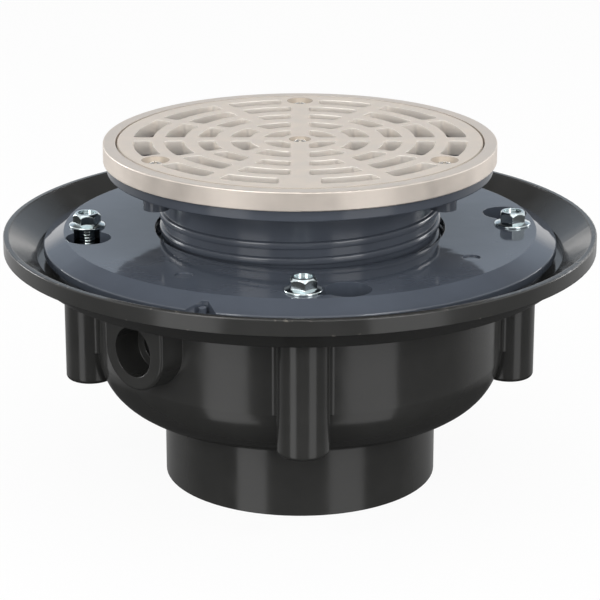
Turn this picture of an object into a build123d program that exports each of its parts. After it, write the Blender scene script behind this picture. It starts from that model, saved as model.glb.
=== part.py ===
from build123d import *
from math import acos, cos, degrees, hypot, radians, sin, tan
import os

# Adjustable floor drain: an ABS body, a PVC clamping collar held by four bolts, and a PVC strainer head
# that screws up and down in the collar and carries a nickel-bronze ring and grate.
# Millimetres. The origin is the centre of the outlet's bottom face, +Z is up.

# Outlet, a stub of 4 in schedule 40 pipe size
outlet_diameter = 114.3
outlet_wall = 6.02
outlet_length = 32.0

# Bowl, from the outlet's shoulder up to the collar's seat
bowl_diameter = 169.4
bowl_depth = 63.2
bowl_wall = 5.5
bowl_shoulder_radius = 22.0
bowl_floor = 5.5
floor_fall = 1.5

# Body flange: a seat for the collar, and a dished lip with a raised rim around it
rim_diameter = 245.7
rim_height = 6.5
rim_land = 2.3
rim_foot = 3.4
rim_edge_radius = 0.5
rim_rise = 11.2
dish_depth = 7.9
seat_diameter = 218.8
seat_thickness = 4.0
seat_turn_in = 0.6

# Bolt columns
bolt_count = 4
bolt_circle_diameter = 177.0
column_diameter = 20.8
column_length = 55.2
column_edge_radius = 2.0
column_blend_radius = 2.4

# Trap primer port, a drop below the seat; its boss is D-shaped and rounded about a point a little higher
port_angle = 225.0
port_drop = 20.8
port_bore_diameter = 20.4
port_socket_depth = 12.0
port_passage_diameter = 13.0
port_face_distance = 94.6
port_boss_width = 33.0
port_boss_rise = 0.8
port_boss_edge_radius = 1.2
scoop_radius = 18.0
scoop_depth = 7.0
scoop_rise = 11.6

# Clamping collar
collar_diameter = 212.8
collar_flat_diameter = 196.0
collar_height = 11.5
collar_band_drop = 4.7
collar_edge_height = 2.9
collar_plate = 6.4
collar_edge_radius = 0.8
collar_mouth_diameter = 120.7
collar_mouth_depth = 3.2
collar_hub_wall = 5.4
collar_hub_length = 44.7
clamp_rib_diameter = 206.0
clamp_rib_width = 4.0
hub_blend_radius = 3.0
keyhole_diameter = 18.6
keyhole_slot_width = 10.7
keyhole_twist = 11.2
mark_diameter = 7.3
mark_depth = 0.6
mark_circle_diameter = 164.0
mark_angle = 235.7
gate_angle = 248.4
gate_pocket_width = 13.0
gate_pocket_tip = 2.4
gate_pocket_depth = 5.0
gate_pocket_floor = 1.2
gate_stub_diameter = 3.0
gate_stub_height = 2.6

# Collar bolts, indented hex heads with a sloped washer, each turned as it came to rest
bolt_head_turns = (25, 50, 7, 36)
bolt_diameter = 6.35
bolt_length = 50.8
bolt_washer_diameter = 15.0
bolt_washer_thickness = 1.8
bolt_washer_edge = 0.8
bolt_hex_flats = 10.0
bolt_hex_height = 4.0
bolt_corner_drop = 1.3
bolt_top_inset = 0.4
bolt_dish_diameter = 7.4
bolt_dish_depth = 1.0
bolt_insert_diameter = 9.5
bolt_insert_length = 12.7

# Strainer head, screwed in until its flange stands a gap above the collar; its clocking is by chance
head_gap = 24.6
head_clocking = -0.8
head_flange_diameter = 159.0
head_flange_thickness = 4.5
head_edge_radius = 0.6
head_funnel_diameter = 142.0
head_funnel_depth = 2.2
head_funnel_fall = 0.9
neck_diameter = 114.0
neck_wall = 5.0
neck_length = 51.3
neck_mouth_radius = 2.0
neck_blend_radius = 1.5
thread_height = 1.2
thread_clearance = 0.4
screw_circle_diameter = 133.2
screw_angles = (90, 210, 330)
boss_diameter = 10.4
boss_length = 7.9
seal_section = 2.4
seal_groove_depth = 1.2
seal_groove_width = 3.0
seal_height = 5.0
seal_clearance = 0.3

# Strainer ring
ring_diameter = 162.1
ring_height = 7.8
ring_bore_diameter = 151.8
ring_ledge_bore_diameter = 143.0
ring_ledge_thickness = 1.8
ring_lug_diameter = 12.4
ring_edge_radius = 0.5

# Strainer grate
grate_diameter = 150.6
grate_edge_radius = 0.4
slot_outer_radii = (15.6, 29.0, 42.3, 55.9, 68.9)
slot_widths = (8.0, 8.4, 7.5, 8.3, 8.2)
slot_corner_radius = 1.5
bar_y_width = 7.4
bar_x_width = 5.6
inner_spoke_width = 4.4
steep_spoke_width = 6.0
flat_spoke_width = 3.6
front_pad_width = 16.4
side_pad_width = 15.0

# Strainer screws, oval heads with a cross recess, sunk below the grate's top
screw_diameter = 4.76
screw_head_diameter = 7.8
screw_head_dome = 1.3
screw_length = 15.9
screw_clearance = 0.25
sink_diameter = 11.4
sink_angle = 82.0
centre_screw_head_diameter = 6.6
centre_screw_length = 6.0
centre_sink_diameter = 9.2
recess_width = 1.1
recess_span = 4.2
recess_depth = 1.5
screw_insert_diameter = 7.2
screw_insert_length = 10.0

# Clearances that seat one piece in another
thread_fit = 0.05
insert_fit = 0.03
insert_sink = 0.2

# How far a cut runs past the face that it opens, and how near two measures count as the same
overrun = 1.0
same = 0.05


def revolved(points):
    """Turn a closed outline of (radius, height) points about the Z axis."""
    outline = make_face(Plane.XZ * Polyline(*points, close=True))
    return revolve(outline, Axis.Z)


def cylinder(radius, bottom, top, x=0.0, y=0.0):
    """Upright cylinder between two heights."""
    base = (Align.CENTER, Align.CENTER, Align.MIN)
    return Pos(x, y, bottom) * Cylinder(radius, top - bottom, align=base)


def polar(radius, angle):
    return radius * cos(radians(angle)), radius * sin(radians(angle))


def arc_about(centre, start, end):
    """The shorter arc from start to end about a centre."""
    across = ((start[0] + end[0]) / 2 - centre[0], (start[1] + end[1]) / 2 - centre[1])
    stretch = hypot(start[0] - centre[0], start[1] - centre[1]) / hypot(*across)
    middle = (centre[0] + across[0] * stretch, centre[1] + across[1] * stretch)
    return ThreePointArc(start, middle, end)


def circles_near(shape, radius, height):
    """Circular edges about the Z axis at one radius and height."""
    found = []
    for edge in shape.edges().filter_by(GeomType.CIRCLE):
        centre = edge.arc_center
        on_axis = hypot(centre.X, centre.Y) < same
        if on_axis and abs(edge.radius - radius) < same and abs(centre.Z - height) < same:
            found.append(edge)
    return found


def write(shape, name):
    shape.label = name
    export_step(shape, f"parts/{name}.step")


bolt_angles = [index * 360.0 / bolt_count for index in range(bolt_count)]
bolt_circle = bolt_circle_diameter / 2
screw_circle = screw_circle_diameter / 2
bowl_radius = bowl_diameter / 2
bowl_bottom_z = outlet_length
bowl_inside_radius = bowl_radius - bowl_wall
seat_z = bowl_bottom_z + bowl_depth
seat_underside_z = seat_z - seat_thickness
rim_top_z = seat_z + rim_rise
column_bottom_z = seat_z - column_length
port_z = seat_z - port_drop
collar_top_z = seat_z + collar_height
head_flange_z = collar_top_z + head_gap
ring_z = head_flange_z + head_flange_thickness
grate_z = ring_z + ring_ledge_thickness
grate_top_z = ring_z + ring_height
neck_radius = neck_diameter / 2
neck_bottom_z = head_flange_z - neck_length
throat_radius = neck_radius + thread_height + thread_clearance
seal_z = neck_bottom_z + seal_height


def bowl_cavity():
    """The water space inside the body, from the outlet's mouth to above the rim."""
    inside = bowl_inside_radius
    floor_z = bowl_bottom_z + bowl_floor
    bore = outlet_diameter / 2 - outlet_wall
    corner = bowl_shoulder_radius - bowl_wall
    floor_end = (inside - corner, floor_z)
    wall_start = (inside, floor_z + corner)
    profile = make_face(
        Plane.XZ
        * (
            Polyline((0, -overrun), (bore, -overrun), (bore, floor_z - floor_fall), floor_end)
            + arc_about((inside - corner, floor_z + corner), floor_end, wall_start)
            + Polyline(wall_start, (inside, rim_top_z), (0, rim_top_z), (0, -overrun))
        )
    )
    return revolve(profile, Axis.Z)


def bolt_column(angle):
    """Round column under the flange, blended into the bowl's wall by two concave fillets."""
    x, y = polar(bolt_circle, angle)
    column_radius = column_diameter / 2
    column = cylinder(column_radius, column_bottom_z, seat_z, x, y)
    column = fillet(column.edges().sort_by(Axis.Z)[0], column_edge_radius)

    # The blend's centre stands one blend radius off both the wall and the column.
    to_axis = bowl_radius + column_blend_radius
    to_column = column_radius + column_blend_radius
    half_turn = acos((to_axis**2 + bolt_circle**2 - to_column**2) / (2 * to_axis * bolt_circle))
    blend_x, blend_y = polar(to_axis, degrees(half_turn))
    on_wall = polar(bowl_radius, degrees(half_turn))
    share = column_radius / to_column
    on_column = (bolt_circle + (blend_x - bolt_circle) * share, blend_y * share)
    blend = arc_about((blend_x, blend_y), on_wall, on_column)
    other_on_column = (on_column[0], -on_column[1])
    other_on_wall = (on_wall[0], -on_wall[1])
    web = make_face(
        blend
        + Polyline(on_column, (bolt_circle, 0), other_on_column)
        + mirror(blend, Plane.XZ)
        + Polyline(other_on_wall, (bowl_inside_radius, 0), on_wall)
    )
    web_bottom_z = bowl_bottom_z + bowl_shoulder_radius
    web = Rot(0, 0, angle) * Pos(0, 0, web_bottom_z) * extrude(web, seat_z - web_bottom_z)
    return column + web


def port_plane():
    """Plane of the port's face: its normal points outwards, its Y axis points up."""
    x, y = polar(port_face_distance, port_angle)
    outward = (cos(radians(port_angle)), sin(radians(port_angle)), 0)
    sideways = (-sin(radians(port_angle)), cos(radians(port_angle)), 0)
    return Plane(origin=(x, y, port_z), x_dir=sideways, z_dir=outward)


def port_boss():
    """D-shaped boss that runs up to the flange, with a scoop in its face above the port."""
    half = port_boss_width / 2
    top = (seat_z + seat_underside_z) / 2 - port_z
    middle = port_boss_rise
    outline = make_face(
        ThreePointArc((-half, middle), (0, middle - half), (half, middle))
        + Polyline((half, middle), (half, top), (-half, top), (-half, middle))
    )
    depth = port_face_distance - bowl_inside_radius + bowl_wall
    face = port_plane()
    block = extrude(face * outline, -depth)
    front = block.faces().sort_by(Axis(face.origin, face.z_dir))[-1]
    edges = front.edges().filter_by(lambda edge: edge.center().Z < seat_underside_z)
    boss = fillet(edges, port_boss_edge_radius)
    scoop_centre = port_plane() * Pos(0, scoop_rise + scoop_radius)
    return boss - scoop_centre * Cylinder(scoop_radius, 2 * scoop_depth)


def port_bore():
    """Socket from the boss's face, then a smaller passage into the bowl."""
    inward = (Align.CENTER, Align.CENTER, Align.MAX)
    reach = port_face_distance - bowl_inside_radius + 2 * bowl_wall
    socket = port_plane() * Cylinder(port_bore_diameter / 2, port_socket_depth, align=inward)
    passage = port_plane() * Cylinder(port_passage_diameter / 2, reach, align=inward)
    return socket + passage


def drain_body():
    """One moulding: outlet, bowl, dished flange, bolt columns and trap primer boss."""
    rim_radius = rim_diameter / 2
    seat_radius = seat_diameter / 2
    rim_bottom_z = rim_top_z - rim_height
    shoulder_start = bowl_radius - bowl_shoulder_radius
    shoulder_top = bowl_bottom_z + bowl_shoulder_radius
    dish_edge_z = rim_top_z - rim_edge_radius - dish_depth
    outlet_radius = outlet_diameter / 2
    underside_end = (shoulder_start, bowl_bottom_z)
    wall_start = (bowl_radius, shoulder_top)
    profile = make_face(
        Plane.XZ
        * (
            Polyline((0, 0), (outlet_radius, 0), (outlet_radius, bowl_bottom_z), underside_end)
            + arc_about((shoulder_start, shoulder_top), underside_end, wall_start)
            + Polyline(
                wall_start,
                (bowl_radius, seat_underside_z),
                (seat_radius + seat_turn_in, seat_underside_z),
                (rim_radius - rim_foot, rim_bottom_z),
                (rim_radius, rim_bottom_z),
                (rim_radius, rim_top_z),
                (rim_radius - rim_land, rim_top_z),
                (rim_radius - rim_land, rim_top_z - rim_edge_radius),
                (seat_radius, dish_edge_z),
                (seat_radius, seat_z),
                (0, seat_z),
                (0, 0),
            )
        )
    )
    shell = revolve(profile, Axis.Z)
    rim_edges = circles_near(shell, rim_radius, rim_top_z)
    shell = fillet(rim_edges, rim_edge_radius)
    body = shell + [bolt_column(angle) for angle in bolt_angles] + port_boss()
    body = body - bowl_cavity() - port_bore()
    hole_bottom_z = collar_top_z - bolt_length - bolt_diameter / 2
    for angle in bolt_angles:
        x, y = polar(bolt_circle, angle)
        insert_bottom_z = seat_z - insert_sink - bolt_insert_length
        body -= cylinder(bolt_diameter / 2 + insert_fit, hole_bottom_z, seat_z + overrun, x, y)
        body -= cylinder(bolt_insert_diameter / 2 + insert_fit, insert_bottom_z, seat_z + overrun, x, y)
    return body


def keyhole():
    """Big hole and narrow arc slot; the bolt stands in the slot's end at angle 0."""
    hole_x, hole_y = polar(bolt_circle, keyhole_twist)
    slot_radius = keyhole_slot_width / 2
    start = (bolt_circle, 0)
    middle = polar(bolt_circle, keyhole_twist / 2)
    path = ThreePointArc(start, middle, (hole_x, hole_y))
    slot = trace(path, keyhole_slot_width)
    shape = slot + Pos(*start) * Circle(slot_radius) + Pos(hole_x, hole_y) * Circle(keyhole_diameter / 2)
    height = collar_plate + collar_band_drop
    return Pos(0, 0, collar_top_z - height) * extrude(shape, 2 * height)


def gate_pocket():
    """Pocket in the sloped band where the moulding's gate was, narrowing towards the axis."""
    edge = collar_diameter / 2
    tip = edge - gate_pocket_depth
    half = gate_pocket_width / 2
    tip_half = gate_pocket_tip / 2
    right = [(tip, -tip_half), (edge, -half), (edge + overrun, -half)]
    left = [(x, -y) for x, y in reversed(right)]
    floor_z = collar_top_z - collar_band_drop - collar_edge_height + gate_pocket_floor
    pocket = Pos(0, 0, floor_z) * extrude(make_face(Polyline(*right, *left, close=True)), collar_height)
    stub_x = edge - gate_pocket_depth / 2
    stub = cylinder(gate_stub_diameter / 2, floor_z, floor_z + gate_stub_height, stub_x)
    return Rot(0, 0, gate_angle) * (pocket - stub)


def clamping_collar():
    """Flat ring with a sloped outer band, a clamping rib below and a threaded hub for the neck."""
    edge_radius = collar_diameter / 2
    flat_radius = collar_flat_diameter / 2
    edge_top_z = collar_top_z - collar_band_drop
    edge_bottom_z = edge_top_z - collar_edge_height
    plate_z = collar_top_z - collar_plate
    rib_radius = clamp_rib_diameter / 2
    hub_radius = throat_radius + collar_hub_wall
    hub_bottom_z = collar_top_z - collar_hub_length
    mouth_z = collar_top_z - collar_mouth_depth
    collar = revolved(
        [
            (collar_mouth_diameter / 2, collar_top_z),
            (flat_radius, collar_top_z),
            (edge_radius, edge_top_z),
            (edge_radius, edge_bottom_z),
            (rib_radius, edge_bottom_z),
            (rib_radius, seat_z),
            (rib_radius - clamp_rib_width, seat_z),
            (rib_radius - clamp_rib_width, plate_z),
            (hub_radius, plate_z),
            (hub_radius, hub_bottom_z),
            (throat_radius, hub_bottom_z),
            (throat_radius, mouth_z - (collar_mouth_diameter / 2 - throat_radius)),
            (collar_mouth_diameter / 2, mouth_z),
        ]
    )
    collar = fillet(circles_near(collar, edge_radius, edge_top_z), collar_edge_radius)
    collar = fillet(circles_near(collar, hub_radius, plate_z), hub_blend_radius)
    for angle in bolt_angles:
        collar -= Rot(0, 0, angle) * keyhole()
        x, y = polar(mark_circle_diameter / 2, mark_angle + angle)
        collar -= cylinder(mark_diameter / 2, collar_top_z - mark_depth, collar_top_z + overrun, x, y)
    return collar - gate_pocket()


def collar_bolt(angle, turn):
    """Hex bolt with a sloped washer and a dished top, one corner of its hexagon at an angle of turn."""
    under_head = collar_top_z
    hex_z = under_head + bolt_washer_thickness
    top_z = hex_z + bolt_hex_height
    hexagon = Rot(0, 0, turn) * RegularPolygon(bolt_hex_flats / 2, 6, major_radius=False)
    foot_z = under_head + bolt_washer_edge
    head = Pos(0, 0, foot_z) * extrude(hexagon, top_z - foot_z)
    corner = bolt_hex_flats / 2 / cos(radians(30))
    dome = revolved(
        [
            (0, foot_z),
            (corner, foot_z),
            (corner, top_z - bolt_corner_drop),
            (bolt_hex_flats / 2 - bolt_top_inset, top_z),
            (0, top_z),
        ]
    )
    head = head & dome
    head -= cylinder(bolt_dish_diameter / 2, top_z - bolt_dish_depth, top_z + overrun)
    washer_radius = bolt_washer_diameter / 2
    washer = revolved(
        [
            (0, under_head),
            (washer_radius, under_head),
            (washer_radius, foot_z),
            (bolt_hex_flats / 2, hex_z),
            (0, hex_z),
        ]
    )
    washer = fillet(circles_near(washer, washer_radius, foot_z), bolt_washer_edge / 2)
    shank = cylinder(bolt_diameter / 2, under_head - bolt_length, under_head)
    shank = chamfer(shank.edges().sort_by(Axis.Z)[0], bolt_diameter / 8)
    x, y = polar(bolt_circle, angle)
    return Pos(x, y, 0) * (head + washer + shank)


def bolt_insert(angle):
    """Brass bush in the top of a column."""
    x, y = polar(bolt_circle, angle)
    top = seat_z - insert_sink
    bottom = top - bolt_insert_length
    bush = cylinder(bolt_insert_diameter / 2, bottom, top, x, y)
    return bush - cylinder(bolt_diameter / 2 + thread_fit, bottom - overrun, top + overrun, x, y)


def strainer_head():
    """Flanged neck: a shallow funnel above, three screw bosses below the flange, a seal groove low down."""
    flange_radius = head_flange_diameter / 2
    funnel_radius = head_funnel_diameter / 2
    bore = neck_radius - neck_wall
    funnel_z = ring_z - head_funnel_depth
    mouth_z = funnel_z - head_funnel_fall
    groove_radius = neck_radius - seal_groove_depth
    groove_low = seal_z - seal_groove_width / 2
    groove_high = seal_z + seal_groove_width / 2
    head = revolved(
        [
            (flange_radius, head_flange_z),
            (flange_radius, ring_z),
            (funnel_radius, ring_z),
            (funnel_radius, funnel_z),
            (bore, mouth_z),
            (bore, neck_bottom_z),
            (neck_radius, neck_bottom_z),
            (neck_radius, groove_low),
            (groove_radius, groove_low),
            (groove_radius, groove_high),
            (neck_radius, groove_high),
            (neck_radius, head_flange_z),
        ]
    )
    head = fillet(circles_near(head, flange_radius, head_flange_z), head_edge_radius)
    head = fillet(circles_near(head, bore, mouth_z), neck_mouth_radius)
    head = fillet(circles_near(head, neck_radius, head_flange_z), neck_blend_radius)
    for angle in screw_angles:
        x, y = polar(screw_circle, angle)
        head += cylinder(boss_diameter / 2, head_flange_z - boss_length, ring_z, x, y)
        hole_bottom = grate_top_z - screw_length - screw_diameter / 2
        insert_bottom = ring_z - insert_sink - screw_insert_length
        head -= cylinder(screw_diameter / 2 + insert_fit, hole_bottom, ring_z + overrun, x, y)
        head -= cylinder(screw_insert_diameter / 2 + insert_fit, insert_bottom, ring_z + overrun, x, y)
    return head


def screw_insert(angle):
    """Brass bush in a boss of the strainer head."""
    x, y = polar(screw_circle, angle)
    top = ring_z - insert_sink
    bottom = top - screw_insert_length
    bush = cylinder(screw_insert_diameter / 2, bottom, top, x, y)
    return bush - cylinder(screw_diameter / 2 + thread_fit, bottom - overrun, top + overrun, x, y)


def neck_seal():
    """Rubber ring in the neck's groove, just clear of the collar's throat."""
    centre_radius = throat_radius - seal_clearance - seal_section / 2
    section = Pos(centre_radius, seal_z) * Circle(seal_section / 2)
    return revolve(Plane.XZ * section, Axis.Z)


def strainer_ring():
    """Bronze ring with a ledge for the grate and three drilled lugs."""
    outer = ring_diameter / 2
    bore = ring_bore_diameter / 2
    ledge = ring_ledge_bore_diameter / 2
    ring = revolved(
        [
            (ledge, ring_z),
            (outer, ring_z),
            (outer, grate_top_z),
            (bore, grate_top_z),
            (bore, grate_z),
            (ledge, grate_z),
        ]
    )
    outer_edges = circles_near(ring, outer, grate_top_z) + circles_near(ring, outer, ring_z)
    ring = fillet(outer_edges, ring_edge_radius)
    lug_radius = ring_lug_diameter / 2
    for angle in screw_angles:
        reach = ledge + overrun - screw_circle
        lug = Pos(screw_circle, 0) * Circle(lug_radius)
        lug += Pos(screw_circle + reach / 2, 0) * Rectangle(reach, ring_lug_diameter)
        ring += Rot(0, 0, angle) * Pos(0, 0, ring_z) * extrude(lug, ring_ledge_thickness)
        x, y = polar(screw_circle, angle)
        ring -= cylinder(screw_diameter / 2 + screw_clearance, ring_z - overrun, grate_z + overrun, x, y)
    return ring


def bar(width, angle, reach=grate_diameter):
    """Radial bar on the +X side, turned to an angle."""
    return Rot(0, 0, angle) * Pos(reach / 2, 0) * Rectangle(reach, width)


def slot_ring(index):
    """One ring of slots: an annulus cut by the bars that run across it."""
    outer = slot_outer_radii[index]
    ring = Circle(outer) - Circle(outer - slot_widths[index])
    bars = [bar(bar_x_width, angle) for angle in (0, 180)]
    bars += [bar(bar_y_width, angle) for angle in (90, 270)]
    if index == 1:
        bars += [bar(inner_spoke_width, angle) for angle in (45, 135, 225, 315)]
    if index > 1:
        bars += [bar(flat_spoke_width, angle) for angle in (30, 150, 210, 330)]
        bars += [bar(steep_spoke_width, angle) for angle in (60, 120, 240, 300)]
    if index == len(slot_outer_radii) - 1:
        bars += [bar(front_pad_width, angle) for angle in (90, 270)]
        bars += [bar(side_pad_width, angle) for angle in (210, 330)]
    slots = ring - bars
    return fillet(slots.vertices(), slot_corner_radius)


def sink_z(sink, radius):
    """Height at which a countersink of a given diameter narrows to a radius."""
    return grate_top_z - (sink / 2 - radius) / tan(radians(sink_angle / 2))


def screw_hole(x, y, sink):
    """Clearance hole with a countersink at the grate's top face."""
    hole_radius = screw_diameter / 2 + screw_clearance
    hole = cylinder(hole_radius, grate_z - overrun, grate_top_z + overrun, x, y)
    below = (Align.CENTER, Align.CENTER, Align.MAX)
    cone = Cone(hole_radius, sink / 2, grate_top_z - sink_z(sink, hole_radius), align=below)
    return hole + Pos(x, y, grate_top_z) * cone


def strainer_grate():
    """Cast disc with five rings of slots, three screw holes and one centre hole."""
    grate = cylinder(grate_diameter / 2, grate_z, grate_top_z)
    grate = chamfer(circles_near(grate, grate_diameter / 2, grate_top_z), grate_edge_radius)
    for index in range(len(slot_outer_radii)):
        depth = grate_top_z - grate_z + 2 * overrun
        grate -= Pos(0, 0, grate_z - overrun) * extrude(slot_ring(index), depth)
    for angle in screw_angles:
        x, y = polar(screw_circle, angle)
        grate -= screw_hole(x, y, sink_diameter)
    return grate - screw_hole(0, 0, centre_sink_diameter)


def strainer_screw(x, y, head_diameter, length, sink):
    """Oval-head machine screw with a cross recess, resting on its countersink."""
    shank_radius = screw_diameter / 2
    head_radius = head_diameter / 2
    bottom_z = grate_top_z - length
    neck_z = sink_z(sink, shank_radius + thread_fit)
    edge_z = sink_z(sink, head_radius + thread_fit)
    top_z = edge_z + screw_head_dome
    edge = (head_radius, edge_z)
    top = (0, top_z)
    dome_radius = (head_radius**2 + screw_head_dome**2) / (2 * screw_head_dome)
    profile = make_face(
        Plane.XZ
        * (
            Polyline(top, (0, bottom_z), (shank_radius, bottom_z), (shank_radius, neck_z), edge)
            + arc_about((0, top_z - dome_radius), edge, top)
        )
    )
    screw = revolve(profile, Axis.Z)
    wing = Box(recess_span, recess_width, 2 * recess_depth)
    return Pos(x, y, 0) * (screw - Pos(0, 0, top_z) * (wing + Rot(0, 0, 90) * wing))


def main():
    os.makedirs("parts", exist_ok=True)
    write(drain_body(), "drain_body")
    write(clamping_collar(), "clamping_collar")
    bolt_places = ("right", "back", "left", "front")
    for place, angle, turn in zip(bolt_places, bolt_angles, bolt_head_turns):
        write(collar_bolt(angle, turn), f"collar_bolt_{place}")
        write(bolt_insert(angle), f"bolt_insert_{place}")
    write(neck_seal(), "neck_seal")
    turned = Rot(0, 0, head_clocking)
    write(turned * strainer_head(), "strainer_head")
    write(turned * strainer_ring(), "strainer_ring")
    write(turned * strainer_grate(), "strainer_grate")
    for place, angle in zip(("back", "left", "right"), screw_angles):
        x, y = polar(screw_circle, angle)
        screw = strainer_screw(x, y, screw_head_diameter, screw_length, sink_diameter)
        write(turned * screw, f"grate_screw_{place}")
        write(turned * screw_insert(angle), f"screw_insert_{place}")
    screw = strainer_screw(0, 0, centre_screw_head_diameter, centre_screw_length, centre_sink_diameter)
    write(turned * screw, "centre_screw")


main()
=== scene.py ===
from math import cos, pi, radians, sin

import bpy
import numpy as np
from bpy.props import FloatProperty, FloatVectorProperty, PointerProperty
from mathutils import Euler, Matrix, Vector


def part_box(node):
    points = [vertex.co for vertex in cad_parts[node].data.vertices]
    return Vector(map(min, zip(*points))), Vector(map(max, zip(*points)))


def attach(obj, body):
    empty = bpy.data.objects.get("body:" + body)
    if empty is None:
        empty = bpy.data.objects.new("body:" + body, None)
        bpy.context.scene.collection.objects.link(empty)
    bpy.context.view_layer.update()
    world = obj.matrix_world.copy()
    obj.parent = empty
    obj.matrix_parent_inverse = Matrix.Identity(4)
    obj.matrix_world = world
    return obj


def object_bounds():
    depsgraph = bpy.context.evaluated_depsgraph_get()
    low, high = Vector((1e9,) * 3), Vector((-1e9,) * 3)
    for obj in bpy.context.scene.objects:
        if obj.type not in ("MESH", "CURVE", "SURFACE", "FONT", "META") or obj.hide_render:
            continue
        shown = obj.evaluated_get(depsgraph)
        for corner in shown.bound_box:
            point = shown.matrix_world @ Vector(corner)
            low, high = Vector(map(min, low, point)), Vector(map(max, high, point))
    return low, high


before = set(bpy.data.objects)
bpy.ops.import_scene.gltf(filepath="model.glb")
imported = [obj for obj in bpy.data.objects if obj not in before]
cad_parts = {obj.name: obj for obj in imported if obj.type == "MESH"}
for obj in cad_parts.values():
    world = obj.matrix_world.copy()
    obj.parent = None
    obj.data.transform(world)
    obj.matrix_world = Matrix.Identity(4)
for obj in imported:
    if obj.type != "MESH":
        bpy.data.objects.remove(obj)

bl_info = {
    "name": "Floor Drain",
    "version": (1, 0, 0),
    "blender": (4, 5, 0),
    "location": "View3D > Sidebar > Floor Drain",
    "description": "Finishes, threads and a studio for an adjustable floor drain",
    "category": "Object",
}

CAD_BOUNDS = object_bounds()
MM = 0.001

# Kinds of shader node.
COORDINATES = "ShaderNodeTexCoord"
NOISE = "ShaderNodeTexNoise"
RAMP = "ShaderNodeMapRange"
MATH = "ShaderNodeMath"
VECTOR = "ShaderNodeVectorMath"
SPLIT = "ShaderNodeSeparateXYZ"
JOIN = "ShaderNodeCombineXYZ"
MIX = "ShaderNodeMix"
BUMP = "ShaderNodeBump"
SHADER = "ShaderNodeBsdfPrincipled"
OUTPUT = "ShaderNodeOutputMaterial"

# The mix node's sockets: its share, its two numbers, its two colours, and what comes out of it.
SHARE = 0
NUMBER_A, NUMBER_B, MIXED_NUMBER = 2, 3, 0
COLOUR_A, COLOUR_B, MIXED_COLOUR = 6, 7, 2

# The values between which noise mostly lies, and how many finer layers it has.
NOISE_LOW, NOISE_HIGH = 0.3, 0.7
NOISE_DETAIL = 3.0
BEVEL_SAMPLES = 4
PLASTIC_IOR = 1.5
RUBBER_IOR = 1.52

# Height of the flange's raised rim, and how far the faces of the grate's 82 degree sinks look up.
RIM_HEIGHT = 6.5 * MM
SINK_SLOPE = sin(radians(41))

# Rows of points in one turn of a coarse ridge and of a bolt's, and corners of the round floor.
COARSE_STEPS = 96
BOLT_STEPS = 24
FLOOR_CORNERS = 96

# Pitches from the neck's front crest down to the start of the throat's ridge.
THROAT_DROP = 3.5

# Turns of a bolt's ridge left out under the collar's top, and the turn over which its ends fade.
BOLT_TOP_GAP = 0.8
BOLT_FADE = radians(60)

# Direction of the drain's front round its axis, and the height in metres that the lamps face.
FRONT = radians(270)
LAMP_AIM = 0.1

# Name, bearing from the front in degrees, distance, height and size in metres, watts, seen in reflections.
LAMPS = (
    ("lamp_left", -38, 0.95, 0.42, (0.42, 0.5), 2.6, True),
    ("lamp_right", 37, 0.95, 0.42, (0.42, 0.5), 2.6, True),
    ("lamp_left_low", -41, 0.95, -0.25, (0.42, 0.8), 1.3, True),
    ("lamp_right_low", 38, 0.95, -0.25, (0.50, 0.8), 1.2, True),
    ("lamp_side_left", -116, 0.95, 0.2, (0.30, 0.3), 2.0, True),
    ("lamp_side_right", 116, 0.95, 0.2, (0.30, 0.3), 1.8, True),
    ("lamp_front", 0, 1.3, 0.40, (1.2, 0.8), 2.2, False),
    ("lamp_high", 180, 0.3, 1.3, (1.1, 1.1), 3.2, False),
    ("lamp_key_left", -38, 0.80, 0.95, (0.20, 0.20), 1.4, True),
    ("lamp_key_right", 38, 0.80, 0.95, (0.20, 0.20), 1.4, True),
)


def linear(hex_colour):
    """Linear RGBA of an sRGB hex colour, by the standard's own formula."""
    parts = [int(hex_colour[i:i + 2], 16) / 255 for i in (1, 3, 5)]
    return [c / 12.92 if c <= 0.04045 else ((c + 0.055) / 1.055) ** 2.4 for c in parts] + [1.0]


def length(name, description, millimetres):
    """A size in metres, given in millimetres."""
    return FloatProperty(name=name, description=description, default=millimetres * MM, unit="LENGTH")


def angle(name, description, degrees):
    """An angle in radians, given in degrees."""
    return FloatProperty(name=name, description=description, default=radians(degrees), unit="ROTATION")


def share(name, description, value):
    """A share from 0 to 1."""
    return FloatProperty(
        name=name, description=description, default=value, min=0, max=1, subtype="FACTOR"
    )


def number(name, description, value):
    """A plain number."""
    return FloatProperty(name=name, description=description, default=value)


def colour(name, description, hex_colour):
    """A colour, given as sRGB hex."""
    return FloatVectorProperty(
        name=name, description=description, default=linear(hex_colour), size=4, min=0, max=1, subtype="COLOR"
    )


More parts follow.
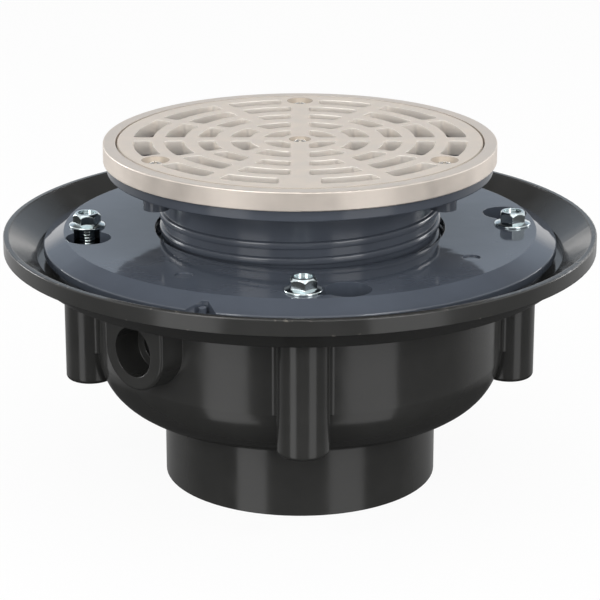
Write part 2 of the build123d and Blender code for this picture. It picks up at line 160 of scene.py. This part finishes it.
class DrainThreads(bpy.types.PropertyGroup):
    """Sizes of the threads."""

    neck_radius: length("Neck radius", "Plain neck under its ridge", 57.0)
    throat_radius: length("Throat radius", "Plain throat of the collar", 58.6)
    pitch: length("Pitch", "Rise of the neck's thread in one turn", 6.35)
    height: length("Height", "How far the neck's ridge stands out", 1.2)
    crest_width: length("Crest width", "Flat top of the neck's ridge", 2.3)
    flank_width: length("Flank width", "Width of each sloped side of a ridge", 0.5)
    front_crest: length("Front crest", "Height of the ridge's middle at the front of the neck", 115.05)
    run_out: angle("Run-out", "Turn past the front at which the ridge ends", 120)
    fade: angle("Fade", "Turn over which a ridge fades at its ends", 35)
    turns: number("Turns", "Turns of the neck's ridge", 4.0)
    throat_turns: number("Throat turns", "Turns of the collar's ridge", 1.5)
    throat_crest_width: length("Throat crest width", "Flat top of the collar's ridge", 1.3)
    bolt_radius: length("Bolt radius", "Plain shank of a bolt", 3.175)
    bolt_foot: length("Bolt thread foot", "Height at which a bolt's ridge begins", 95.6)
    bolt_pitch: length("Bolt pitch", "Rise of a bolt's thread in one turn", 1.27)
    bolt_height: length("Bolt thread height", "How far a bolt's ridge stands out", 0.3)
    bolt_crest_width: length("Bolt crest width", "Flat top of a bolt's ridge", 0.12)
    bolt_flank_width: length("Bolt flank width", "Width of each sloped side of a bolt's ridge", 0.42)


class DrainFinishes(bpy.types.PropertyGroup):
    """Colours and gloss of the materials."""

    abs_colour: colour("ABS", "Black ABS of the body", "#333332")
    abs_roughness: share("ABS roughness", "Gloss of the moulded ABS", 0.12)
    abs_worn_colour: colour("ABS worn", "Scuffed edge of the black rim", "#8C877E")
    collar_colour: colour("Collar PVC", "Grey PVC of the clamping collar", "#4A505A")
    collar_roughness: share("Collar roughness", "Gloss of the moulded collar", 0.03)
    head_colour: colour("Head PVC", "Grey PVC of the strainer head", "#494E57")
    head_roughness: share("Head roughness", "Gloss of the moulded head", 0.13)
    bronze_colour: colour("Nickel bronze", "Ground face of the grate", "#E6DACD")
    ring_colour: colour("Ring bronze", "Turned faces of the ring", "#DAD0C6")
    # Painted shade: the countersinks round the screws are coloured darker than the grate's face.
    sink_painted_shade_colour: colour("Sunk bronze", "Countersinks darkened as painted shade", "#B2A698")
    # Painted light: the slot walls are coloured lighter than the grate's face.
    wall_painted_light_colour: colour("Cast bronze", "Cast walls of the grate's slots", "#FBF5EE")
    bronze_metal: share("Bronze metal", "How much of the bronze's light is mirrored", 0.6)
    bronze_roughness: share("Bronze roughness", "Satin of the machined bronze", 0.44)
    bronze_cast_roughness: share("Cast bronze roughness", "Satin of the cast walls", 0.32)
    zinc_colour: colour("Zinc plate", "Bright zinc of the bolts", "#D3DEE0")
    zinc_roughness: share("Zinc roughness", "Gloss of the zinc plate", 0.13)
    steel_colour: colour("Stainless steel", "Screws of the grate", "#FBF6EE")
    steel_roughness: share("Steel roughness", "Gloss of the stainless steel", 0.16)
    steel_metal: share("Steel metal", "How much of the steel's light is mirrored", 0.9)
    rubber_colour: colour("Rubber", "Seal of the neck", "#161616")
    brass_colour: colour("Brass", "Threaded inserts", "#C9A25C")
    brass_roughness: share("Brass roughness", "Gloss of the turned brass", 0.25)


class DrainStudio(bpy.types.PropertyGroup):
    """Camera, floor and lamps."""

    focal_length: number("Focal length", "Millimetres on a 36 mm sensor", 149.64)
    camera_distance: length("Camera distance", "Level distance from the drain's axis", 995.49)
    camera_height: length("Camera height", "Height over the floor", 401.56)
    camera_pitch: angle("Camera pitch", "How far the camera looks down", 18.22)
    camera_turn: angle("Camera turn", "How far the camera stands round the drain", -0.8)
    floor_colour: colour("Floor", "Pale sweep that the drain stands on", "#F4F4F4")
    floor_whiteness: share("Floor whiteness", "How far the floor's shadow is washed out", 0.93)
    floor_radius: length("Floor radius", "Reach of the floor", 4000)
    floor_bounce: colour("Floor bounce", "How the floor lights the drain from below", "#6A6A6A")
    ambient: number("Ambient", "Light from all round", 0.55)
    backdrop_glow: number("Backdrop glow", "Reflected backdrop near the horizon", 1.2)
    room_glow: colour("Room glow", "Reflected cool room above the backdrop", "#C3CEDA")
    front_glow: number("Front glow", "Reflected room in front", 0.4)
    under_glow: number("Under glow", "Reflected room below the drain", 0.05)
    dome_glow: number("Dome glow", "Reflected room above the camera", 1.5)
    side_glow: number("Side glow", "Reflected room high on both sides", 1.1)
    ceiling_glow: number("Ceiling glow", "Reflected ceiling behind", 0.15)


def grey(level):
    """Linear RGBA of a plain grey."""
    return [level] * 3 + [1.0]


def shaded(tone, factor):
    """A colour made darker or lighter by a factor."""
    return [min(1.0, part * factor) for part in tone[:3]] + [1.0]


def add(tree, kind, inputs, **settings):
    """Add a node, set its options, set or link its inputs by name or index, and give its outputs."""
    node = tree.nodes.new(kind)
    for key, value in settings.items():
        setattr(node, key, value)
    for key, value in inputs.items():
        if isinstance(value, bpy.types.NodeSocket):
            tree.links.new(value, node.inputs[key])
        else:
            node.inputs[key].default_value = value
    return node.outputs


def blank_tree(owner):
    """Give a material or a world an empty node tree."""
    owner.use_nodes = True
    owner.node_tree.nodes.clear()
    return owner.node_tree


def axis_and_height(tree, point):
    """A point's distance from the drain's axis, which is the length of its level part, and its height."""
    parts = add(tree, SPLIT, {0: point})
    flat = add(tree, JOIN, {"X": parts["X"], "Y": parts["Y"]})[0]
    return add(tree, VECTOR, {0: flat}, operation="LENGTH")["Value"], parts["Z"]


def gap(tree, value, level):
    """How far a value is from a level: the difference without its sign."""
    difference = add(tree, MATH, {0: value, 1: level}, operation="SUBTRACT")[0]
    return add(tree, MATH, {0: difference}, operation="ABSOLUTE")[0]


def ramped(tree, limits):
    """A share from 0 to 1: the product of ramps, each a value and where it counts as 0 and as 1."""
    product = 1.0
    for value, none, full in limits:
        ramp = add(tree, RAMP, {"Value": value, "From Min": none, "From Max": full})["Result"]
        product = add(tree, MATH, {0: ramp, 1: product}, operation="MULTIPLY")[0]
    return product


def start_finish(name, tones, patch, gloss, gloss_spread, edge, relief):
    """Begin a material: colour and gloss that vary in patches, softly rounded edges, and relief.

    The patches and the relief are noise of a given real size. Each step of the relief has its
    size, its depth and its strength, coarse first. Gives the material, the point on the object
    and the shader's inputs.
    """
    material = bpy.data.materials.new(name)
    tree = blank_tree(material)
    point = add(tree, COORDINATES, {})["Object"]
    patches = add(tree, NOISE, {"Vector": point, "Scale": 1 / patch, "Detail": NOISE_DETAIL})["Fac"]
    spread = add(tree, RAMP, {"Value": patches, "From Min": NOISE_LOW, "From Max": NOISE_HIGH})["Result"]
    blend = {SHARE: spread, COLOUR_A: tones[0], COLOUR_B: tones[1]}
    shade = add(tree, MIX, blend, data_type="RGBA")[MIXED_COLOUR]
    range_of_gloss = {"Value": spread, "To Min": gloss, "To Max": gloss + gloss_spread}
    roughness = add(tree, RAMP, range_of_gloss)["Result"]
    normal = add(tree, "ShaderNodeBevel", {"Radius": edge}, samples=BEVEL_SAMPLES)["Normal"]
    for size, depth, strength in relief:
        height = add(tree, NOISE, {"Vector": point, "Scale": 1 / size, "Detail": NOISE_DETAIL})["Fac"]
        step = {"Height": height, "Distance": depth, "Strength": strength, "Normal": normal}
        normal = add(tree, BUMP, step)[0]
    return material, point, {"Base Color": shade, "Roughness": roughness, "Normal": normal}


def end_finish(material, inputs):
    """Close a material with its shader."""
    tree = material.node_tree
    add(tree, OUTPUT, {"Surface": add(tree, SHADER, inputs)[0]})
    return material


def black_abs(finishes, rim_radius, rim_corners):
    """Injection-moulded black ABS: semi-gloss, with faint sink waves and pale scuffs along the rim.

    A scuff lies near the rim's radius, near the height of one of its corners, and where specks
    of noise are strong.
    """
    tone = finishes.abs_colour
    sink_waves = (45 * MM, 0.9 * MM, 0.25)
    # Coarser than the real grain, so that it shows.
    grain = (1.6 * MM, 0.03 * MM, 0.10)
    material, point, inputs = start_finish(
        "abs_moulded_black", tones=(shaded(tone, 0.94), shaded(tone, 1.06)), patch=14 * MM,
        gloss=finishes.abs_roughness, gloss_spread=0.10, edge=0.5 * MM, relief=(sink_waves, grain),
    )
    tree = material.node_tree
    reach, height = axis_and_height(tree, point)
    nearest = 1.0
    for level in rim_corners:
        off_corner = gap(tree, height, level)
        nearest = add(tree, MATH, {0: off_corner, 1: nearest}, operation="MINIMUM")[0]
    speckle = {"Vector": point, "Scale": 1 / (5 * MM), "Detail": 5.0, "Roughness": 0.75}
    specks = add(tree, NOISE, speckle)["Fac"]
    scuff = ramped(tree, (
        (reach, rim_radius - 3 * MM, rim_radius), (nearest, 0.9 * MM, 0.0), (specks, 0.60, 0.70),
    ))
    worn = {SHARE: scuff, COLOUR_A: inputs["Base Color"], COLOUR_B: finishes.abs_worn_colour}
    inputs["Base Color"] = add(tree, MIX, worn, data_type="RGBA")[MIXED_COLOUR]
    return end_finish(material, {**inputs, "IOR": PLASTIC_IOR})


def grey_pvc(name, tone, gloss):
    """Injection-moulded grey PVC: glossy enough to mirror its neighbours, with flow marks and dust."""
    flow_marks = (30 * MM, 0.6 * MM, 0.25)
    ripples = (7 * MM, 0.08 * MM, 0.25)
    # Coarser than real dust, so that it shows.
    dust = (0.9 * MM, 0.03 * MM, 0.06)
    material, _, inputs = start_finish(
        name, tones=(shaded(tone, 0.93), shaded(tone, 1.12)), patch=30 * MM,
        gloss=gloss, gloss_spread=0.06, edge=0.25 * MM, relief=(flow_marks, ripples, dust),
    )
    return end_finish(material, {**inputs, "IOR": PLASTIC_IOR})


def nickel_bronze(name, tone, edge, finishes, cast_walls_and_painted_light):
    """Nickel bronze: pale and warm, turned to a satin. A grate's walls stay as cast, with their own
    satin, and are coloured whiter as painted light.

    The tool's lines are noise on the distance from the axis and the height, so they run round.
    A wall is where the surface looks level, and a sink, darkened with painted shade, where it
    looks up by the sink's slope.
    """
    material, point, inputs = start_finish(
        name, tones=(tone, shaded(tone, 1.08)), patch=9 * MM,
        gloss=finishes.bronze_roughness - 0.05, gloss_spread=0.12, edge=edge, relief=(),
    )
    tree = material.node_tree
    inputs["Metallic"] = finishes.bronze_metal
    reach, height = axis_and_height(tree, point)
    rings = add(tree, JOIN, {"X": reach, "Y": height})[0]
    # Coarser than the real lines, so that they show.
    turning = {"Vector": rings, "Scale": 1 / (0.7 * MM), "Detail": NOISE_DETAIL, "Roughness": 0.6}
    lines = add(tree, NOISE, turning)["Fac"]
    turned_strength, cast_strength = 0.4, 0.05
    marks = {"Height": lines, "Distance": 0.04 * MM, "Strength": turned_strength, "Normal": inputs["Normal"]}
    if cast_walls_and_painted_light:
        upward = add(tree, SPLIT, {0: add(tree, COORDINATES, {})["Normal"]})["Z"]
        upward = add(tree, MATH, {0: upward}, operation="ABSOLUTE")[0]
        # Where the walls are coloured lighter, as painted light; their satin and fainter tool marks are
        # real.
        wall = ramped(tree, ((upward, 0.55, 0.2),))
        # Where the sinks are coloured darker, as painted shade.
        sink = ramped(tree, ((gap(tree, upward, SINK_SLOPE), 0.12, 0.04),))
        for cover, shade in ((wall, finishes.wall_painted_light_colour), (sink, finishes.sink_painted_shade_colour)):
            blend = {SHARE: cover, COLOUR_A: inputs["Base Color"], COLOUR_B: shade}
            inputs["Base Color"] = add(tree, MIX, blend, data_type="RGBA")[MIXED_COLOUR]
        satin = {SHARE: wall, NUMBER_A: inputs["Roughness"], NUMBER_B: finishes.bronze_cast_roughness}
        inputs["Roughness"] = add(tree, MIX, satin)[MIXED_NUMBER]
        fading = {"Value": wall, "To Min": turned_strength, "To Max": cast_strength}
        marks["Strength"] = add(tree, RAMP, fading)["Result"]
    inputs["Normal"] = add(tree, BUMP, marks)[0]
    return end_finish(material, inputs)


def plated_metal(name, tone, gloss, grain_size, metal=1.0):
    """Bright plated or drawn metal, with a grain that breaks up its reflections."""
    # Coarser than the real grain, so that it shows.
    grain = (grain_size, 0.03 * MM, 0.2)
    material, _, inputs = start_finish(
        name, tones=(tone, shaded(tone, 0.85)), patch=grain_size,
        gloss=gloss, gloss_spread=0.07, edge=0.4 * MM, relief=(grain,),
    )
    return end_finish(material, {**inputs, "Metallic": metal})


def black_rubber(tone):
    """Moulded nitrile rubber: matt, with a faint bloom."""
    skin = (2 * MM, 0.03 * MM, 0.2)
    material, _, inputs = start_finish(
        "nitrile_rubber_moulded", tones=(tone, shaded(tone, 2.2)), patch=3 * MM,
        gloss=0.6, gloss_spread=0.1, edge=0.3 * MM, relief=(skin,),
    )
    return end_finish(material, {**inputs, "IOR": RUBBER_IOR})


def dress(nodes, material):
    """Give CAD nodes one material."""
    for name in nodes:
        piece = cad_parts[name]
        piece.data.materials.clear()
        piece.data.materials.append(material)


def nodes_starting(prefix):
    """The CAD nodes whose names start alike."""
    return sorted(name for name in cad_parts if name.startswith(prefix))


def grid_mesh(name, points, material, body):
    """A closed-round surface from an array of points: rows along it, columns round its section."""
    rows, columns, _ = points.shape
    corner = np.arange(rows * columns).reshape(rows, columns)
    beside = np.roll(corner, -1, axis=1)
    quads = np.stack([corner[:-1], beside[:-1], beside[1:], corner[1:]], axis=-1).reshape(-1, 4)
    caps = [corner[0][::-1].tolist(), corner[-1].tolist()]
    mesh = bpy.data.meshes.new(name)
    mesh.from_pydata(points.reshape(-1, 3).tolist(), [], quads.tolist() + caps)
    mesh.shade_smooth()
    mesh.set_sharp_from_angle(angle=radians(50))
    mesh.materials.append(material)
    piece = bpy.data.objects.new(name, mesh)
    bpy.context.scene.collection.objects.link(piece)
    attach(piece, body)


def helical_ridge(centre, root, height, crest, flank, pitch, turns, start_angle, start_z, fade, steps):
    """Points of a ridge wound on a cylinder about an upright axis.

    Along the ridge the angle t runs from the start through all the turns, and the middle's
    height is the start's plus pitch times the share of a turn. Across it the section is a
    trapezium: its foot sinks a little into the root cylinder, and its flat crest, with softened
    corners, stands one height from it, outwards or, with a negative height, inwards. Near both
    ends the height shrinks almost to nothing as a smooth step of the angle.
    """
    least_share = 0.02
    foot_sink = 0.15 * MM
    corner_width = 0.2 * flank
    corner_share = 0.88
    t = np.linspace(0, turns * 2 * pi, int(turns * steps) + 1)
    ends = np.minimum(t, t[-1] - t) / fade
    rise = np.clip(ends, least_share, 1)
    rise = rise * rise * (3 - 2 * rise)
    half = crest / 2
    foot = half + flank
    low, high = half - corner_width, half + corner_width
    across = np.array([-foot, -foot, -high, -low, low, high, foot, foot])
    up = np.array([0, 0, corner_share, 1, 1, corner_share, 0, 0])
    radial = root + height * up[None, :] * rise[:, None]
    radial[:, [0, 7]] = root - foot_sink * np.sign(height)
    turn = start_angle + t[:, None]
    z = start_z + pitch * t[:, None] / (2 * pi) + across[None, :]
    x = centre[0] + radial * np.cos(turn)
    y = centre[1] + radial * np.sin(turn)
    points = np.stack([x, y, z], axis=-1)
    if height > 0:
        points = points[:, ::-1]
    return points


def centre_of(node):
    """Middle of a CAD node's box."""
    low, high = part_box(node)
    return (low + high) / 2


class DRAIN_OT_finish_body(bpy.types.Operator):
    """Give the moulded body its black ABS"""

    bl_idname = "drain.finish_body"
    bl_label = "Finish Body"

    def execute(self, context):
        finishes = context.scene.drain_finishes
        _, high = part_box("drain_body")
        dress(["drain_body"], black_abs(finishes, high.x, (high.z, high.z - RIM_HEIGHT)))
        return {"FINISHED"}


class DRAIN_OT_finish_collar(bpy.types.Operator):
    """Give the clamping collar its glossy grey PVC"""

    bl_idname = "drain.finish_collar"
    bl_label = "Finish Collar"

    def execute(self, context):
        finishes = context.scene.drain_finishes
        pvc = grey_pvc("pvc_moulded_collar", finishes.collar_colour, finishes.collar_roughness)
        dress(["clamping_collar"], pvc)
        return {"FINISHED"}


class DRAIN_OT_finish_head(bpy.types.Operator):
    """Give the strainer head its grey PVC, and the seal its rubber"""

    bl_idname = "drain.finish_head"
    bl_label = "Finish Head"

    def execute(self, context):
        finishes = context.scene.drain_finishes
        pvc = grey_pvc("pvc_moulded_head", finishes.head_colour, finishes.head_roughness)
        dress(["strainer_head"], pvc)
        dress(["neck_seal"], black_rubber(finishes.rubber_colour))
        return {"FINISHED"}


class DRAIN_OT_finish_strainer(bpy.types.Operator):
    """Give the ring its turned bronze and the grate its ground and cast bronze"""

    bl_idname = "drain.finish_strainer"
    bl_label = "Finish Strainer"

    def execute(self, context):
        finishes = context.scene.drain_finishes
        turned = nickel_bronze(
            "nickel_bronze_turned", finishes.ring_colour, 0.15 * MM, finishes, cast_walls_and_painted_light=False
        )
        cast = nickel_bronze(
            "nickel_bronze_cast", finishes.bronze_colour, 0.4 * MM, finishes, cast_walls_and_painted_light=True
        )
        dress(["strainer_ring"], turned)
        dress(["strainer_grate"], cast)
        return {"FINISHED"}


class DRAIN_OT_finish_fasteners(bpy.types.Operator):
    """Give the bolts zinc plate, the screws stainless steel and the inserts brass"""

    bl_idname = "drain.finish_fasteners"
    bl_label = "Finish Fasteners"

    def execute(self, context):
        finishes = context.scene.drain_finishes
        zinc = plated_metal(
            "zinc_plated_steel", finishes.zinc_colour, finishes.zinc_roughness, 0.9 * MM
        )
        steel = plated_metal(
            "stainless_steel_headed", finishes.steel_colour, finishes.steel_roughness, 0.7 * MM,
            finishes.steel_metal,
        )
        brass = plated_metal(
            "brass_turned", finishes.brass_colour, finishes.brass_roughness, 0.8 * MM
        )
        dress(nodes_starting("collar_bolt"), zinc)
        dress(nodes_starting("grate_screw") + ["centre_screw"], steel)
        dress(nodes_starting("bolt_insert") + nodes_starting("screw_insert"), brass)
        return {"FINISHED"}


class DRAIN_OT_add_neck_thread(bpy.types.Operator):
    """Wind the coarse ridge on the neck"""

    bl_idname = "drain.add_neck_thread"
    bl_label = "Add Neck Thread"

    def execute(self, context):
        threads = context.scene.drain_threads
        end_angle = FRONT + threads.run_out
        end_z = threads.front_crest + threads.pitch * threads.run_out / (2 * pi)
        points = helical_ridge(
            centre=(0, 0), root=threads.neck_radius, height=threads.height,
            crest=threads.crest_width, flank=threads.flank_width, pitch=threads.pitch,
            turns=threads.turns, start_angle=end_angle - threads.turns * 2 * pi,
            start_z=end_z - threads.turns * threads.pitch, fade=threads.fade, steps=COARSE_STEPS,
        )
        grid_mesh("neck_thread", points, bpy.data.materials["pvc_moulded_head"], "head")
        return {"FINISHED"}


class DRAIN_OT_add_throat_thread(bpy.types.Operator):
    """Wind the matching ridge inside the collar's throat, half a pitch from the neck's"""

    bl_idname = "drain.add_throat_thread"
    bl_label = "Add Throat Thread"

    def execute(self, context):
        threads = context.scene.drain_threads
        points = helical_ridge(
            centre=(0, 0), root=threads.throat_radius, height=-threads.height,
            crest=threads.throat_crest_width, flank=threads.flank_width, pitch=threads.pitch,
            turns=threads.throat_turns, start_angle=FRONT,
            start_z=threads.front_crest - THROAT_DROP * threads.pitch, fade=threads.fade,
            steps=COARSE_STEPS,
        )
        grid_mesh("throat_thread", points, bpy.data.materials["pvc_moulded_collar"], "collar")
        return {"FINISHED"}


class DRAIN_OT_add_bolt_threads(bpy.types.Operator):
    """Wind a fine thread on each bolt's shank where it shows in its keyhole"""

    bl_idname = "drain.add_bolt_threads"
    bl_label = "Add Bolt Threads"

    def execute(self, context):
        threads = context.scene.drain_threads
        _, collar_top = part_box("clamping_collar")
        for name in nodes_starting("collar_bolt"):
            middle = centre_of(name)
            points = helical_ridge(
                centre=(middle.x, middle.y), root=threads.bolt_radius, height=threads.bolt_height,
                crest=threads.bolt_crest_width, flank=threads.bolt_flank_width,
                pitch=threads.bolt_pitch,
                turns=(collar_top.z - threads.bolt_foot) / threads.bolt_pitch - BOLT_TOP_GAP,
                start_angle=0.0, start_z=threads.bolt_foot + threads.bolt_pitch / 2,
                fade=BOLT_FADE, steps=BOLT_STEPS,
            )
            piece_name = name.replace("collar_bolt", "bolt_thread")
            grid_mesh(piece_name, points, bpy.data.materials["zinc_plated_steel"], "body")
        return {"FINISHED"}


def floor_material(studio):
    """Painted pale sweep: white to the camera with a trace of the drain's shadow, dimmer from below."""
    material = bpy.data.materials.new("sweep_painted_white")
    tree = blank_tree(material)
    seen = add(tree, "ShaderNodeLightPath", {})["Is Camera Ray"]
    blend = {SHARE: seen, COLOUR_A: studio.floor_bounce, COLOUR_B: studio.floor_colour}
    tone = add(tree, MIX, blend, data_type="RGBA")[MIXED_COLOUR]
    paint = add(tree, "ShaderNodeBsdfDiffuse", {"Color": tone})[0]
    white = add(tree, "ShaderNodeEmission", {"Strength": 1.0})[0]
    whiteness = add(tree, MATH, {0: seen, 1: studio.floor_whiteness}, operation="MULTIPLY")[0]
    add(tree, OUTPUT, {"Surface": add(tree, "ShaderNodeMixShader", {0: whiteness, 1: paint, 2: white})[0]})
    return material


def add_floor(studio):
    """Round floor at the drain's foot: points evenly round a circle about the drain's axis.

    Glossy rays pass it, as if the drain stood on a glass shelf.
    """
    around = np.linspace(0, 2 * pi, FLOOR_CORNERS, endpoint=False)
    low = CAD_BOUNDS[0].z
    ring = np.stack([np.cos(around), np.sin(around)], axis=-1) * studio.floor_radius
    points = np.column_stack([ring, np.full(len(ring), low)])
    mesh = bpy.data.meshes.new("floor")
    mesh.from_pydata(points.tolist(), [], [list(range(len(points)))])
    mesh.materials.append(floor_material(studio))
    floor = bpy.data.objects.new("floor", mesh)
    floor.visible_glossy = False
    bpy.context.scene.collection.objects.link(floor)


def add_lamp(name, bearing, distance, height, size, power, glossy):
    """Soft rectangular lamp that faces the drain's axis. A positive bearing is to the front's right."""
    data = bpy.data.lights.new(name, "AREA")
    data.shape = "RECTANGLE"
    data.size, data.size_y = size
    data.energy = power
    lamp = bpy.data.objects.new(name, data)
    lamp.location = (distance * sin(bearing), -distance * cos(bearing), height)
    towards = Vector((0, 0, LAMP_AIM)) - lamp.location
    lamp.rotation_euler = towards.to_track_quat("-Z", "Y").to_euler()
    lamp.visible_camera = False
    lamp.visible_glossy = glossy
    bpy.context.scene.collection.objects.link(lamp)


def add_world(studio):
    """White to the camera. Glossy rays see a studio: white behind, dimmer in front and overhead.

    Each band of that studio covers the ones before it where the ray's parts pass their ramps.
    """
    world = bpy.data.worlds.new("studio")
    bpy.context.scene.world = world
    tree = blank_tree(world)
    parts = add(tree, SPLIT, {0: add(tree, COORDINATES, {})["Generated"]})
    away, up = parts["Y"], parts["Z"]
    side = add(tree, MATH, {0: parts["X"]}, operation="ABSOLUTE")[0]
    bands = (
        (studio.room_glow, ((up, 0.16, 0.26),)),
        (grey(studio.ceiling_glow), ((up, 0.42, 0.60),)),
        (grey(studio.front_glow), ((away, 0.45, 0.05),)),
        (grey(studio.dome_glow), ((up, 0.30, 0.50), (away, 0.12, -0.04))),
        (grey(studio.side_glow), ((up, 0.25, 0.40), (side, 0.48, 0.62))),
        (grey(studio.under_glow), ((up, -0.05, -0.45),)),
    )
    reflected = grey(studio.backdrop_glow)
    for tone, limits in bands:
        blend = {SHARE: ramped(tree, limits), COLOUR_A: reflected, COLOUR_B: tone}
        reflected = add(tree, MIX, blend, data_type="RGBA")[MIXED_COLOUR]
    path = add(tree, "ShaderNodeLightPath", {})
    mirrored = {0: path["Is Glossy Ray"], 1: path["Is Transmission Ray"]}
    mirrored = add(tree, MATH, mirrored, operation="MAXIMUM")[0]
    blend = {SHARE: mirrored, COLOUR_A: grey(studio.ambient), COLOUR_B: reflected}
    light = add(tree, MIX, blend, data_type="RGBA")[MIXED_COLOUR]
    blend = {SHARE: path["Is Camera Ray"], COLOUR_A: light, COLOUR_B: grey(1.0)}
    light = add(tree, MIX, blend, data_type="RGBA")[MIXED_COLOUR]
    background = add(tree, "ShaderNodeBackground", {"Color": light, "Strength": 1.0})[0]
    add(tree, "ShaderNodeOutputWorld", {"Surface": background})


def add_camera(studio):
    """Camera at the photograph's viewing angle."""
    data = bpy.data.cameras.new("camera")
    data.sensor_width = 36
    data.lens = studio.focal_length
    data.clip_start = 10 * MM
    camera = bpy.data.objects.new("camera", data)
    turn = studio.camera_turn
    away = studio.camera_distance
    camera.location = (away * sin(turn), -away * cos(turn), studio.camera_height)
    camera.rotation_euler = Euler((pi / 2 - studio.camera_pitch, 0, turn))
    bpy.context.scene.collection.objects.link(camera)
    bpy.context.scene.camera = camera


class DRAIN_OT_add_stage(bpy.types.Operator):
    """Set up the floor, the lamps, the surroundings and the camera"""

    bl_idname = "drain.add_stage"
    bl_label = "Add Stage"

    def execute(self, context):
        studio = context.scene.drain_studio
        add_floor(studio)
        add_world(studio)
        for name, bearing, distance, height, size, power, glossy in LAMPS:
            add_lamp(name, radians(bearing), distance, height, size, power, glossy)
        add_camera(studio)
        context.scene.view_settings.view_transform = "Standard"
        return {"FINISHED"}


class DRAIN_PT_panel(bpy.types.Panel):
    """Lists the settings and the steps."""

    bl_idname = "DRAIN_PT_panel"
    bl_label = "Floor Drain"
    bl_space_type = "VIEW_3D"
    bl_region_type = "UI"
    bl_category = "Floor Drain"

    def draw(self, context):
        layout = self.layout
        for name, group in GROUPS.items():
            box = layout.box()
            for key in group.__annotations__:
                box.prop(getattr(context.scene, name), key)
        for operator in OPERATORS:
            layout.operator(operator.bl_idname)


GROUPS = {"drain_threads": DrainThreads, "drain_finishes": DrainFinishes, "drain_studio": DrainStudio}
OPERATORS = (
    DRAIN_OT_finish_body,
    DRAIN_OT_finish_collar,
    DRAIN_OT_finish_head,
    DRAIN_OT_finish_strainer,
    DRAIN_OT_finish_fasteners,
    DRAIN_OT_add_neck_thread,
    DRAIN_OT_add_throat_thread,
    DRAIN_OT_add_bolt_threads,
    DRAIN_OT_add_stage,
)


def register():
    """Register the classes and put the settings on the scene."""
    for made in (*GROUPS.values(), *OPERATORS, DRAIN_PT_panel):
        bpy.utils.register_class(made)
    for name, group in GROUPS.items():
        setattr(bpy.types.Scene, name, PointerProperty(type=group))


def unregister():
    """Take the settings off the scene and unregister the classes."""
    for name in GROUPS:
        delattr(bpy.types.Scene, name)
    for made in (DRAIN_PT_panel, *reversed(OPERATORS), *reversed(GROUPS.values())):
        bpy.utils.unregister_class(made)


def main():
    """Run every step in order."""
    register()
    bpy.ops.drain.finish_body()
    bpy.ops.drain.finish_collar()
    bpy.ops.drain.finish_head()
    bpy.ops.drain.finish_strainer()
    bpy.ops.drain.finish_fasteners()
    bpy.ops.drain.add_neck_thread()
    bpy.ops.drain.add_throat_thread()
    bpy.ops.drain.add_bolt_threads()
    bpy.ops.drain.add_stage()


if __name__ == "__main__":
    main()
